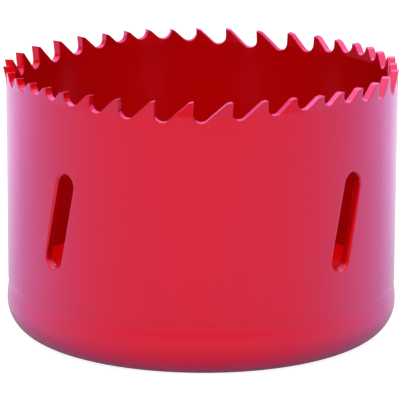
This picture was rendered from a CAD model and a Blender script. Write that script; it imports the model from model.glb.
# %% [markdown]
# # A painted hole saw
#
# A hole saw is a steel cup with teeth round its mouth. A strip of saw band is toothed, rolled
# into a ring and welded to a thick pressed cap, and the whole saw is then sprayed with glossy
# red enamel. The frame brings both solids in at their real size. The band's solid already has
# its true shape, so it keeps its mesh and gets its finish here. The cap is made anew, because
# a tapped thread and soft pressed corners are easier to make as a mesh.

# %% Load the frame
import math

import bpy
from mathutils import Matrix, Vector


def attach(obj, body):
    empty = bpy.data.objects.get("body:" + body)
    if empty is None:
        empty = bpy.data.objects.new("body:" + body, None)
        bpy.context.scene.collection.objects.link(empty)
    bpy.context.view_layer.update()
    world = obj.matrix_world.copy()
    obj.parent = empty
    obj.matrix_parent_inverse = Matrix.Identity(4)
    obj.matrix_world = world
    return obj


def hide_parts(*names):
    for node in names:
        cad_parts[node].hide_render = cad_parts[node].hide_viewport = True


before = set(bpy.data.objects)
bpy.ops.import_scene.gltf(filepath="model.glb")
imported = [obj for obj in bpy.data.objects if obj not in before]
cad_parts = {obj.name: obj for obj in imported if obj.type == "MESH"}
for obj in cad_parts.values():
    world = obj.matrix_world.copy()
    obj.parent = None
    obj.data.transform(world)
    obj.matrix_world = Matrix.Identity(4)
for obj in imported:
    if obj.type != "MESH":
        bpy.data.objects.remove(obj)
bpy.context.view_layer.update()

# %% [markdown]
# ## Units, selection and colours
#
# Blender works in metres here, and a drawing of a saw is in millimetres, so one constant turns
# one into the other. Operators act on whatever is selected, so small helpers clear the
# selection and pick faces or vertices by a test on their place. Colours are written as the
# sRGB hex values that a paint chart would give, and one function makes them linear.

# %% Units and selection
MM = 0.001


def start_piece():
    """Leaves edit mode and clears the selection, ready for a new primitive."""
    if bpy.context.object and bpy.context.object.mode != "OBJECT":
        bpy.ops.object.mode_set(mode="OBJECT")
    bpy.ops.object.select_all(action="DESELECT")


def pick_vertices(piece, test):
    """In edit mode, selects only the vertices whose place passes the test."""
    bpy.ops.object.mode_set(mode="OBJECT")
    for part in (piece.data.vertices, piece.data.edges, piece.data.polygons):
        part.foreach_set("select", [False] * len(part))
    for vertex in piece.data.vertices:
        vertex.select = test(vertex.co)
    bpy.ops.object.mode_set(mode="EDIT")
    bpy.ops.mesh.select_mode(type="VERT")


def pick_faces(piece, test):
    """In edit mode, selects only the faces whose centre and normal pass the test."""
    bpy.ops.object.mode_set(mode="OBJECT")
    for part in (piece.data.vertices, piece.data.edges, piece.data.polygons):
        part.foreach_set("select", [False] * len(part))
    for face in piece.data.polygons:
        face.select = test(face.center, face.normal)
    bpy.ops.object.mode_set(mode="EDIT")
    bpy.ops.mesh.select_mode(type="FACE")


print("one Blender unit is", round(1 / MM), "mm")


# %% Colours
def linear(hex_colour):
    """An sRGB hex colour as the linear RGBA that the shaders use."""
    channels = [int(hex_colour[place : place + 2], 16) / 255 for place in (1, 3, 5)]
    return [c / 12.92 if c <= 0.04045 else ((c + 0.055) / 1.055) ** 2.4 for c in channels] + [1.0]


print("mid grey, linear:", [round(channel, 3) for channel in linear("#808080")])


# %% [markdown]
# ## The base cap
#
# On the real saw the cap is a thick steel disc with its rim drawn up into a short cup, so its
# outer corner is round and the strip of band stands on the rim. It could be spun from its
# section. Starting from a disc is closer to the press: the bottom edge is rounded, the top is
# inset to the thickness of the band and pushed down to leave the floor, and the inner corner
# is rounded last.

# %% Press the cap
CAP_RADIUS = 32.17 * MM
BAND_RADIUS = 32.0 * MM
BAND_INSIDE = 30.75 * MM
WELD_HEIGHT = 9.0 * MM
FLOOR_HEIGHT = 5.0 * MM
OUTER_CORNER = 5.25 * MM
INNER_CORNER = 3.0 * MM
CAP_SIDES = 192
OUTER_CORNER_STEPS = 14
INNER_CORNER_STEPS = 8
RIM_STEPS = 6
CIRCULAR = 0.5            # the bevel profile that makes a corner round
LOOKS_UP = 0.9            # the least upward part of a flat top's normal
TINY = 0.01 * MM          # how near a point has to be to count as at a height

start_piece()
bpy.ops.mesh.primitive_cylinder_add(
    vertices=CAP_SIDES, radius=CAP_RADIUS, depth=WELD_HEIGHT, location=(0, 0, WELD_HEIGHT / 2)
)
cap = bpy.context.object
cap.name = "threaded_cap"
bpy.ops.object.transform_apply(location=True, rotation=True, scale=True)

pick_vertices(cap, lambda place: place.z < TINY)
bpy.ops.mesh.bevel(
    offset=OUTER_CORNER, segments=OUTER_CORNER_STEPS, profile=CIRCULAR, affect="EDGES"
)

# The rim draws in a little to meet the band, in a soft S that leaves no line on either side.
for step in range(1, RIM_STEPS + 1):
    along = step / RIM_STEPS
    level = OUTER_CORNER + along * (WELD_HEIGHT - OUTER_CORNER)
    if step < RIM_STEPS:
        bpy.ops.mesh.select_all(action="SELECT")
        bpy.ops.mesh.bisect(plane_co=(0, 0, level), plane_no=(0, 0, 1))
    pick_vertices(cap, lambda place: abs(place.z - level) < TINY)
    eased = along * along * (3 - 2 * along)
    draw_in = 1 + eased * (BAND_RADIUS / CAP_RADIUS - 1)
    bpy.ops.transform.resize(value=(draw_in, draw_in, 1), center_override=(0, 0, 0))

# The inside of the cup: inset by the band's thickness, then pushed down to the floor.
pick_faces(cap, lambda centre, normal: normal.z > LOOKS_UP and centre.z > WELD_HEIGHT - TINY)
bpy.ops.mesh.inset(thickness=BAND_RADIUS - BAND_INSIDE, use_even_offset=True)
bpy.ops.mesh.extrude_region_move(
    TRANSFORM_OT_translate={"value": (0, 0, FLOOR_HEIGHT - WELD_HEIGHT)}
)
pick_vertices(cap, lambda place: abs(place.z - FLOOR_HEIGHT) < TINY)
bpy.ops.mesh.bevel(
    offset=INNER_CORNER, segments=INNER_CORNER_STEPS, profile=CIRCULAR, affect="EDGES"
)
bpy.ops.object.mode_set(mode="OBJECT")
print("cap blank:", len(cap.data.vertices), "vertices")

# %% [markdown]
# ## The bore, the drive-pin holes and the thread
#
# The arbor screws into a 5/8 inch, 18 threads-per-inch bore, and its pins enter four holes
# round it. They could be cut as edit-mode insets, but round holes in a round floor are what a
# boolean does well: each hole is a cutter, modelled once and copied. The thread is a V groove
# that climbs one pitch in each turn, so its cutter is one V section swept by the Screw
# modifier.

# %% Drill the cap
BORE_RADIUS = 7.25 * MM
BORE_CHAMFER = 0.8 * MM
BORE_SIDES = 96
PIN_RADIUS = 3.4 * MM
PIN_CHAMFER = 0.35 * MM
PIN_SIDES = 48
PIN_CIRCLE = 12.7 * MM    # from the saw's axis to each pin hole's
PIN_COUNT = 4
OVERRUN = 1.0 * MM        # how far a cutter runs past the faces that it opens


def drill(name, radius, chamfer, sides):
    """A drill through the floor on the saw's axis, flared at both faces to leave chamfers."""
    start_piece()
    bpy.ops.mesh.primitive_cylinder_add(
        vertices=sides,
        radius=radius,
        depth=FLOOR_HEIGHT + 2 * OVERRUN,
        location=(0, 0, FLOOR_HEIGHT / 2),
    )
    cutter = bpy.context.object
    cutter.name = name
    bpy.ops.object.transform_apply(location=True, rotation=True, scale=True)
    bpy.ops.object.mode_set(mode="EDIT")
    for level in (chamfer, FLOOR_HEIGHT - chamfer):
        bpy.ops.mesh.select_all(action="SELECT")
        bpy.ops.mesh.bisect(plane_co=(0, 0, level), plane_no=(0, 0, 1))
    pick_vertices(cutter, lambda place: abs(place.z - FLOOR_HEIGHT / 2) > FLOOR_HEIGHT / 2)
    flare = (radius + chamfer + OVERRUN) / radius
    bpy.ops.transform.resize(value=(flare, flare, 1), center_override=(0, 0, 0))
    bpy.ops.object.mode_set(mode="OBJECT")
    return cutter


def cut(piece, cutter):
    """Takes the cutter's shape out of the piece, and the cutter away."""
    start_piece()
    bpy.context.view_layer.objects.active = piece
    piece.select_set(True)
    boolean = piece.modifiers.new("cut", "BOOLEAN")
    boolean.operation = "DIFFERENCE"
    boolean.solver = "EXACT"
    boolean.object = cutter
    bpy.ops.object.modifier_apply(modifier=boolean.name)
    bpy.data.objects.remove(cutter)


cut(cap, drill("bore_drill", BORE_RADIUS, BORE_CHAMFER, BORE_SIDES))
pin_drill = drill("pin_drill", PIN_RADIUS, PIN_CHAMFER, PIN_SIDES)
for count in range(PIN_COUNT):
    copy = pin_drill.copy()
    copy.data = pin_drill.data.copy()
    bpy.context.scene.collection.objects.link(copy)
    bearing = 2 * math.pi * count / PIN_COUNT
    copy.location = (PIN_CIRCLE * math.cos(bearing), PIN_CIRCLE * math.sin(bearing), 0)
    bpy.context.view_layer.update()
    cut(cap, copy)
bpy.data.objects.remove(pin_drill)
print("drilled cap:", len(cap.data.polygons), "faces")

# %% Tap the thread
INCH = 25.4 * MM
THREADS_PER_INCH = 18
PITCH = INCH / THREADS_PER_INCH
MAJOR_RADIUS = 7.94 * MM
GROOVE_FLAT = 0.2 * MM    # flat at the bottom of the groove
FLANK_TAN = math.tan(math.radians(30))
TAP_INSIDE = 7.1 * MM     # the V starts inside the bore, so that it cuts the bore's wall
TAP_CORNERS = 4
TURN_STEPS = 72
LEAD_IN = 1.2             # turns that the tap makes before it meets the cap
SPARE_TURNS = 2
half_root = GROOVE_FLAT / 2
half_mouth = half_root + (MAJOR_RADIUS - TAP_INSIDE) * FLANK_TAN
turns = math.ceil(FLOOR_HEIGHT / PITCH) + SPARE_TURNS

start_piece()
bpy.ops.mesh.primitive_plane_add(size=1.0, rotation=(math.radians(90), 0, 0))
tap = bpy.context.object
tap.name = "tap"
bpy.ops.object.transform_apply(location=True, rotation=True, scale=True)
for vertex in tap.data.vertices:
    outside = vertex.co.x > 0
    half = half_root if outside else half_mouth
    vertex.co.z = (half if vertex.co.z > 0 else -half) - LEAD_IN * PITCH
    vertex.co.x = MAJOR_RADIUS if outside else TAP_INSIDE
    vertex.co.y = 0
bpy.ops.object.mode_set(mode="EDIT")
bpy.ops.mesh.select_all(action="SELECT")
bpy.ops.mesh.delete(type="ONLY_FACE")
bpy.ops.object.mode_set(mode="OBJECT")
screw = tap.modifiers.new("helix", "SCREW")
screw.axis = "Z"
screw.screw_offset = PITCH
screw.iterations = turns
screw.steps = TURN_STEPS
screw.render_steps = TURN_STEPS
bpy.ops.object.modifier_apply(modifier=screw.name)
bpy.ops.object.mode_set(mode="EDIT")
bpy.ops.mesh.select_all(action="SELECT")
bpy.ops.mesh.fill_holes(sides=TAP_CORNERS)
bpy.ops.mesh.select_all(action="SELECT")
bpy.ops.mesh.normals_make_consistent(inside=False)
bpy.ops.object.mode_set(mode="OBJECT")
cut(cap, tap)
print("tapped cap:", len(cap.data.polygons), "faces")

# %% [markdown]
# ## The cap's finished mesh
#
# Booleans leave doubled points and may turn a face about, so points are merged and every face
# is made to look outward. Pressed steel has soft turns and flat faces: faces that meet at a
# slight angle are shaded as one, sharp edges stay sharp, and weighted normals keep the wide
# flat faces from looking dented beside the curved ones.

# %% Finish the cap's mesh
MERGE_GAP = 0.001 * MM
SMOOTH_ANGLE = math.radians(28)

start_piece()
bpy.context.view_layer.objects.active = cap
cap.select_set(True)
bpy.ops.object.mode_set(mode="EDIT")
bpy.ops.mesh.select_all(action="SELECT")
bpy.ops.mesh.remove_doubles(threshold=MERGE_GAP)
bpy.ops.mesh.normals_make_consistent(inside=False)
bpy.ops.object.mode_set(mode="OBJECT")
bpy.ops.object.shade_smooth_by_angle(angle=SMOOTH_ANGLE)
weighted = cap.modifiers.new("flat faces stay flat", "WEIGHTED_NORMAL")
weighted.keep_sharp = True
bpy.ops.object.modifier_apply(modifier=weighted.name)
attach(cap, "root")
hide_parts("base_cap")
print("finished cap, mm:", [round(side / MM, 2) for side in cap.dimensions])

# %% [markdown]
# ## Red enamel on steel
#
# The saw is sprayed all over with one glossy red enamel and baked. Seen squarely it is a deep
# red, and towards the edge of the round it turns lilac and then nearly white, because the
# clear in the paint mirrors the white room more and more at a glance. Inside the band the
# spray only reaches at a slant, so the film there is thinner, darker and duller, and so is
# the cut face of each slot. The thread is tapped after painting and is bare steel.
#
# A flat red with a plain gloss shows none of that. An image could carry it, but the marks all
# follow from where a face is and which way it looks, so they are worked out from the piece's
# own coordinates and normals, and hold at any size of picture.

# %% A helper for nodes
def add_node(tree, kind, settings=None, inputs=None, links=None):
    """Adds a node, sets its properties and sockets, and links outputs into its sockets."""
    node = tree.nodes.new(kind)
    for name, value in (settings or {}).items():
        setattr(node, name, value)
    for name, value in (inputs or {}).items():
        node.inputs[name].default_value = value
    for name, output in (links or {}).items():
        tree.links.new(output, node.inputs[name])
    return node


enamel = bpy.data.materials.new("red_gloss_enamel_on_steel")
enamel.use_nodes = True
tree = enamel.node_tree
shader = tree.nodes["Principled BSDF"]
print("enamel starts with", len(tree.nodes), "nodes")

# %% Which way a face looks from the axis
# 1 is straight outward, -1 is straight at the axis, and 0 is sideways, up or down.
place = add_node(tree, "ShaderNodeTexCoord")
flat = add_node(
    tree, "ShaderNodeVectorMath", {"operation": "MULTIPLY"}, {1: (1, 1, 0)},
    {0: place.outputs["Object"]},
)
outward = add_node(
    tree, "ShaderNodeVectorMath", {"operation": "NORMALIZE"}, links={0: flat.outputs[0]}
)
facing_out = add_node(
    tree, "ShaderNodeVectorMath", {"operation": "DOT_PRODUCT"},
    links={0: outward.outputs[0], 1: place.outputs["Normal"]},
)
height = add_node(tree, "ShaderNodeSeparateXYZ", links={0: place.outputs["Object"]}).outputs["Z"]
print("place and facing:", len(tree.nodes), "nodes")

# %% Where the spray is thin
# Faces that look inward are thin. Below the teeth the limit moves, so that faces which look
# sideways or up, in the slots and on the cup's floor, count as well.
TEETH_START = 33.0 * MM
TEETH_BLEND = 1.0 * MM
LIMIT_SHIFT = -0.75       # how far the limit has moved, below the teeth
DULL_FROM = -0.4
DULL_FULLY = -0.7
RIM_BLEND = 0.4 * MM

below_teeth = add_node(
    tree, "ShaderNodeMapRange",
    inputs={
        "From Min": TEETH_START + TEETH_BLEND,
        "From Max": TEETH_START - TEETH_BLEND,
        "To Min": 0.0,
        "To Max": LIMIT_SHIFT,
    },
    links={"Value": height},
)
leaned = add_node(
    tree, "ShaderNodeMath", {"operation": "ADD"},
    links={0: facing_out.outputs["Value"], 1: below_teeth.outputs[0]},
)
dull = add_node(
    tree, "ShaderNodeMapRange", inputs={"From Min": DULL_FROM, "From Max": DULL_FULLY},
    links={"Value": leaned.outputs[0]},
)
# The cup's floor faces the spray gun and the paint runs down to it, so it is thickest there.
above_cap = add_node(
    tree, "ShaderNodeMapRange",
    inputs={"From Min": WELD_HEIGHT - RIM_BLEND, "From Max": WELD_HEIGHT},
    links={"Value": height},
)
thin = add_node(
    tree, "ShaderNodeMath", {"operation": "MULTIPLY"},
    links={0: dull.outputs[0], 1: above_cap.outputs[0]},
)
below_cap_rim = add_node(
    tree, "ShaderNodeMapRange",
    inputs={"From Min": WELD_HEIGHT, "From Max": WELD_HEIGHT - RIM_BLEND},
    links={"Value": height},
)
pooled = add_node(
    tree, "ShaderNodeMath", {"operation": "MULTIPLY"},
    links={0: dull.outputs[0], 1: below_cap_rim.outputs[0]},
)
print("thin and pooled film:", len(tree.nodes), "nodes")

# %% Where the steel is bare
# Only the thread and its two chamfers lie this near the axis.
BARE_RADIUS = 8.0 * MM
BARE_BLEND = 0.05 * MM

from_axis = add_node(
    tree, "ShaderNodeVectorMath", {"operation": "LENGTH"}, links={0: flat.outputs[0]}
)
bare = add_node(
    tree, "ShaderNodeMapRange",
    inputs={"From Min": BARE_RADIUS + BARE_BLEND, "From Max": BARE_RADIUS},
    links={"Value": from_axis.outputs["Value"]},
)
print("bare steel:", len(tree.nodes), "nodes")

# %% Colour of the film
ENAMEL_RED = "#D20203"
THIN_RED = "#AA0102"
POOLED_RED = "#EE0604"
MACHINED_STEEL = "#B4B1AC"

film = add_node(tree, "ShaderNodeMix", {"data_type": "RGBA"}, links={0: thin.outputs[0]})
film.inputs["A"].default_value = linear(ENAMEL_RED)
film.inputs["B"].default_value = linear(THIN_RED)
full_film = add_node(
    tree, "ShaderNodeMix", {"data_type": "RGBA"},
    links={0: pooled.outputs[0], "A": film.outputs["Result"]},
)
full_film.inputs["B"].default_value = linear(POOLED_RED)
skin = add_node(
    tree, "ShaderNodeMix", {"data_type": "RGBA"},
    links={0: bare.outputs[0], "A": full_film.outputs["Result"]},
)
skin.inputs["B"].default_value = linear(MACHINED_STEEL)
tree.links.new(skin.outputs["Result"], shader.inputs["Base Color"])
tree.links.new(bare.outputs[0], shader.inputs["Metallic"])
print("film:", ENAMEL_RED, "outside,", THIN_RED, "inside,", POOLED_RED, "on the floor")

# %% Soft edges and orange peel
# Paint rounds off cut edges, which gives each tooth its thin bright rim. The band's edge at
# the weld is dressed flush, so nothing is rounded there. Sprayed enamel also dries with a
# faint orange peel, about two millimetres from bump to bump.
EDGE_RADIUS = 0.3 * MM
EDGE_SAMPLES = 6
ROUNDED_FROM = WELD_HEIGHT + 0.6 * MM
ROUNDED_FULLY = WELD_HEIGHT + 1.4 * MM
PEEL_SIZE = 2.2 * MM
PEEL_DEPTH = 0.012 * MM
PEEL_DETAIL = 1.0
PEEL_STRENGTH = 0.25

edges = add_node(tree, "ShaderNodeBevel", {"samples": EDGE_SAMPLES}, {"Radius": EDGE_RADIUS})
above_weld = add_node(
    tree, "ShaderNodeMapRange", inputs={"From Min": ROUNDED_FROM, "From Max": ROUNDED_FULLY},
    links={"Value": height},
)
soft_edges = add_node(
    tree, "ShaderNodeMix", {"data_type": "VECTOR"},
    links={0: above_weld.outputs[0], "A": place.outputs["Normal"], "B": edges.outputs["Normal"]},
)
peel = add_node(
    tree, "ShaderNodeTexNoise", inputs={"Scale": 1 / PEEL_SIZE, "Detail": PEEL_DETAIL},
    links={"Vector": place.outputs["Object"]},
)
surface = add_node(
    tree, "ShaderNodeBump", inputs={"Strength": PEEL_STRENGTH, "Distance": PEEL_DEPTH},
    links={"Height": peel.outputs[0], "Normal": soft_edges.outputs["Result"]},
)
tree.links.new(surface.outputs["Normal"], shader.inputs["Normal"])
print("orange peel scale, per metre:", round(1 / PEEL_SIZE))

# %% Gloss
# The clear in the enamel is hard and slightly violet where it mirrors the room squarely.
CLEAR_TINT = "#EDB6FF"
GLOSS_ROUGHNESS = 0.2
DULL_ROUGHNESS = 0.25
CLEAR_IOR = 1.68
FULL_MIRROR = 0.5
DULL_MIRROR = 0.2

roughness = add_node(
    tree, "ShaderNodeMapRange", inputs={"To Min": GLOSS_ROUGHNESS, "To Max": DULL_ROUGHNESS},
    links={"Value": dull.outputs[0]},
)
tree.links.new(roughness.outputs[0], shader.inputs["Roughness"])
mirror = add_node(
    tree, "ShaderNodeMapRange", inputs={"To Min": FULL_MIRROR, "To Max": DULL_MIRROR},
    links={"Value": dull.outputs[0]},
)
tree.links.new(mirror.outputs[0], shader.inputs["Specular IOR Level"])
shader.inputs["IOR"].default_value = CLEAR_IOR
shader.inputs["Specular Tint"].default_value = linear(CLEAR_TINT)
print("roughness:", GLOSS_ROUGHNESS, "outside,", DULL_ROUGHNESS, "inside")

# %% The lilac glance
# A second, sheer layer mirrors the room where the surface turns away. It grows with the
# square of the turn, and its colour runs from lilac to nearly white at the very edge.
GLANCE_LILAC = "#EE89FF"
GLANCE_WHITE = "#F4E6FF"
GLANCE_SHARE = 0.74
DULL_GLANCE_SHARE = 0.09
FADE_START = 0.62
EVEN_BLEND = 0.5          # Layer Weight's facing is then one less the cosine of the turn

turned_away = add_node(
    tree, "ShaderNodeLayerWeight", inputs={"Blend": EVEN_BLEND},
    links={"Normal": surface.outputs["Normal"]},
)
squared = add_node(
    tree, "ShaderNodeMath", {"operation": "POWER"}, {1: 2.0}, {0: turned_away.outputs["Facing"]}
)
unglossed = add_node(
    tree, "ShaderNodeMath", {"operation": "MAXIMUM"},
    links={0: dull.outputs[0], 1: bare.outputs[0]},
)
most = add_node(
    tree, "ShaderNodeMapRange", inputs={"To Min": GLANCE_SHARE, "To Max": DULL_GLANCE_SHARE},
    links={"Value": unglossed.outputs[0]},
)
share = add_node(
    tree, "ShaderNodeMath", {"operation": "MULTIPLY"},
    links={0: squared.outputs[0], 1: most.outputs[0]},
)
fade = add_node(tree, "ShaderNodeValToRGB", links={0: turned_away.outputs["Facing"]})
lilac_stop, white_stop = fade.color_ramp.elements
lilac_stop.position = FADE_START
lilac_stop.color = linear(GLANCE_LILAC)
white_stop.position = 1.0
white_stop.color = linear(GLANCE_WHITE)
sheer = add_node(
    tree, "ShaderNodeBsdfAnisotropic", inputs={"Roughness": GLOSS_ROUGHNESS},
    links={"Color": fade.outputs[0], "Normal": surface.outputs["Normal"]},
)
layered = add_node(
    tree, "ShaderNodeMixShader",
    links={0: share.outputs[0], 1: shader.outputs[0], 2: sheer.outputs[0]},
)
tree.links.new(layered.outputs[0], tree.nodes["Material Output"].inputs["Surface"])
print("enamel:", len(tree.nodes), "nodes")

# %% Paint both pieces
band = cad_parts["toothed_band"]
for piece in (band, cap):
    piece.data.materials.clear()
    piece.data.materials.append(enamel)
print("painted:", band.name, "and", cap.name)

# %% [markdown]
# ## The table
#
# The saw stands on white paper. Its lower half is a mirror of that paper, so how bright the
# paper looks in the gloss matters as much as how bright it looks itself. A real table gets
# darker towards the camera, away from the lamps, and close round the foot of the saw. One
# material for every ray can't be a plain white page and a graded mirror image, so the paper
# has three: one seen directly, one seen in the gloss, and one that passes light on.

# %% Lay the paper
FLOOR_SIZE = 8.0

start_piece()
bpy.ops.mesh.primitive_plane_add(size=FLOOR_SIZE, location=(0, 0, 0))
floor = bpy.context.object
floor.name = "floor"
paper = bpy.data.materials.new("white_paper")
paper.use_nodes = True
floor.data.materials.append(paper)
print("floor, m:", [round(side, 2) for side in floor.dimensions])

# %% Paper that passes light on
PAPER_BOUNCE = 0.5


def grey(value):
    """An even grey of the given linear brightness, as RGBA."""
    return (value, value, value, 1)


tree = paper.node_tree
shader = tree.nodes["Principled BSDF"]
shader.inputs["Base Color"].default_value = grey(PAPER_BOUNCE)
shader.inputs["Roughness"].default_value = 1.0
shader.inputs["Specular IOR Level"].default_value = 0.0
print("paper passes on", PAPER_BOUNCE, "of its light")

# %% Paper seen in the gloss
NEAR_CAMERA = -0.5        # metres along Y; the greys run from here
FAR_SIDE = 0.2            # to here
PAPER_GREYS = ((0.0, 0.1), (0.43, 0.56), (0.76, 0.56), (0.89, 0.76), (1.0, 0.76))
FOOT_SHADE = 0.6
FOOT_START = 32 * MM
FOOT_END = 40 * MM
MIRROR_GLOW = 0.15

place = add_node(tree, "ShaderNodeTexCoord")
across = add_node(tree, "ShaderNodeSeparateXYZ", links={0: place.outputs["Object"]})
depth = add_node(
    tree, "ShaderNodeMapRange", inputs={"From Min": NEAR_CAMERA, "From Max": FAR_SIDE},
    links={"Value": across.outputs["Y"]},
)
ramp = add_node(tree, "ShaderNodeValToRGB", links={0: depth.outputs[0]})
for stop, _ in PAPER_GREYS[1:-1]:
    ramp.color_ramp.elements.new(stop)
for element, (_, brightness) in zip(ramp.color_ramp.elements, PAPER_GREYS):
    element.color = grey(brightness)
from_saw = add_node(
    tree, "ShaderNodeVectorMath", {"operation": "LENGTH"}, links={0: place.outputs["Object"]}
)
shade = add_node(
    tree, "ShaderNodeMapRange",
    inputs={"From Min": FOOT_START, "From Max": FOOT_END, "To Min": FOOT_SHADE, "To Max": 1.0},
    links={"Value": from_saw.outputs["Value"]},
)
shaded = add_node(
    tree, "ShaderNodeVectorMath", {"operation": "SCALE"},
    links={0: ramp.outputs[0], "Scale": shade.outputs[0]},
)
shine = add_node(
    tree, "ShaderNodeEmission", inputs={"Strength": MIRROR_GLOW},
    links={"Color": shaded.outputs[0]},
)
matt = add_node(tree, "ShaderNodeBsdfDiffuse", links={"Color": shaded.outputs[0]})
mirrored = add_node(
    tree, "ShaderNodeAddShader", links={0: shine.outputs[0], 1: matt.outputs[0]}
)
print("mirrored paper:", len(ramp.color_ramp.elements), "greys")

# %% Paper seen directly
PAGE_GLOW = 0.9
PAGE_GREY = 0.3

glow = add_node(
    tree, "ShaderNodeEmission", inputs={"Color": grey(1), "Strength": PAGE_GLOW}
)
soft = add_node(tree, "ShaderNodeBsdfDiffuse", inputs={"Color": grey(PAGE_GREY)})
page = add_node(tree, "ShaderNodeAddShader", links={0: glow.outputs[0], 1: soft.outputs[0]})
ray = add_node(tree, "ShaderNodeLightPath")
in_gloss = add_node(
    tree, "ShaderNodeMixShader",
    links={0: ray.outputs["Is Glossy Ray"], 1: shader.outputs[0], 2: mirrored.outputs[0]},
)
direct = add_node(
    tree, "ShaderNodeMixShader",
    links={0: ray.outputs["Is Camera Ray"], 1: in_gloss.outputs[0], 2: page.outputs[0]},
)
tree.links.new(direct.outputs[0], tree.nodes["Material Output"].inputs["Surface"])
print("paper:", len(tree.nodes), "nodes")

# %% [markdown]
# ## The room
#
# Behind the table is a white backdrop, and the camera's side of the room is dark, as in most
# product pictures. What the gullets and the tooth backs mirror is the room behind and above,
# and there the red teeth on the far side of the ring colour it. The room gives very little
# light of its own, so the lamps shape the saw.

# %% Light the room
ROOM_FILL = 0.06
DARK_SIDE = 0.08
WARM_BACKDROP = "#FFA0BE"
DARK_TO = -0.5            # along Y, in a direction of length 1
BACKDROP_FROM = 0.6

world = bpy.data.worlds.new("studio")
bpy.context.scene.world = world
world.use_nodes = True
tree = world.node_tree
background = tree.nodes["Background"]
ray = add_node(tree, "ShaderNodeLightPath")
aim = add_node(tree, "ShaderNodeTexCoord")
parts = add_node(tree, "ShaderNodeSeparateXYZ", links={0: aim.outputs["Generated"]})
behind = add_node(
    tree, "ShaderNodeMapRange", inputs={"From Min": DARK_TO, "From Max": BACKDROP_FROM},
    links={"Value": parts.outputs["Y"]},
)
mirrored = add_node(tree, "ShaderNodeMix", {"data_type": "RGBA"}, links={0: behind.outputs[0]})
mirrored.inputs["A"].default_value = grey(DARK_SIDE)
mirrored.inputs["B"].default_value = linear(WARM_BACKDROP)
in_gloss = add_node(
    tree, "ShaderNodeMix", {"data_type": "RGBA"},
    links={0: ray.outputs["Is Glossy Ray"], "B": mirrored.outputs["Result"]},
)
in_gloss.inputs["A"].default_value = grey(ROOM_FILL)
direct = add_node(
    tree, "ShaderNodeMix", {"data_type": "RGBA"},
    links={0: ray.outputs["Is Camera Ray"], "A": in_gloss.outputs["Result"]},
)
direct.inputs["B"].default_value = grey(1)
tree.links.new(direct.outputs["Result"], background.inputs["Color"])
print("room:", len(tree.nodes), "nodes")

# %% [markdown]
# ## The lamps
#
# A large softbox hangs over the table and lights the gullets, the tooth backs and the cup's
# floor. A second stands in front, about thirty degrees up, so its light clears the front of
# the rim and falls evenly on the far inside wall. A weak one behind keeps the back from going
# black. Spots would be simpler, but they draw hard shadows and small hot highlights that
# enamel under softboxes never shows. The front and back ones are kept out of the gloss, where
# the paper and the room already stand for them.

# %% Hang the lamps
AIM = (0, 0, 20 * MM)


def softbox(name, place, width, height, radiance):
    """An evenly lit panel, round if its sides are equal, that faces the saw."""
    data = bpy.data.lights.new(name, "AREA")
    is_round = width == height
    data.shape = "ELLIPSE" if is_round else "RECTANGLE"
    data.size = width
    data.size_y = height
    area = width * height * (math.pi / 4 if is_round else 1)
    data.energy = radiance * math.pi * area
    lamp = bpy.data.objects.new(name, data)
    lamp.location = place
    lamp.rotation_euler = (Vector(AIM) - Vector(place)).to_track_quat("-Z", "Y").to_euler()
    bpy.context.scene.collection.objects.link(lamp)
    print(name, "watts:", round(data.energy, 2))
    return lamp


softbox("overhead_softbox", place=(0.0, 0.0, 0.7), width=2.0, height=2.0, radiance=1.4)
front = softbox(
    "front_softbox", place=(-0.05, -0.8, 0.48), width=0.9, height=0.35, radiance=5.3
)
back = softbox("back_softbox", place=(0.1, 0.9, 0.35), width=0.9, height=0.35, radiance=2.0)
for lamp in (front, back):
    lamp.visible_glossy = False

# %% [markdown]
# ## The camera
#
# The saw nearly fills a square picture, seen from a little above the rim. The camera stands
# about half a metre away, with a long lens, so the near teeth look a little larger than the
# far ones. A longer lens from further off would flatten the mouth, and a shorter one would
# make the front teeth loom.

# %% Place the camera
DISTANCE = 0.486
ELEVATION = math.radians(13.62)
ROLL = math.radians(0.24)
FOCAL_PIXELS = 2943.0
FRAME_PIXELS = 400.0
SENSOR_WIDTH = 36.0
NEAREST = 10 * MM
LOOK_AT = (-0.26 * MM, 0, 21.35 * MM)

camera_data = bpy.data.cameras.new("camera")
camera = bpy.data.objects.new("camera", camera_data)
bpy.context.scene.collection.objects.link(camera)
bpy.context.scene.camera = camera
camera_data.sensor_width = SENSOR_WIDTH
camera_data.lens = FOCAL_PIXELS / FRAME_PIXELS * SENSOR_WIDTH
camera_data.clip_start = NEAREST
backward = Vector((0, -math.cos(ELEVATION), math.sin(ELEVATION)))
camera.location = Vector(LOOK_AT) + backward * DISTANCE
upright = (-backward).to_track_quat("-Z", "Y").to_matrix().to_4x4()
camera.rotation_euler = (upright @ Matrix.Rotation(ROLL, 4, "Z")).to_euler()
bpy.context.scene.view_settings.view_transform = "Standard"
print("lens, mm:", round(camera_data.lens, 1))
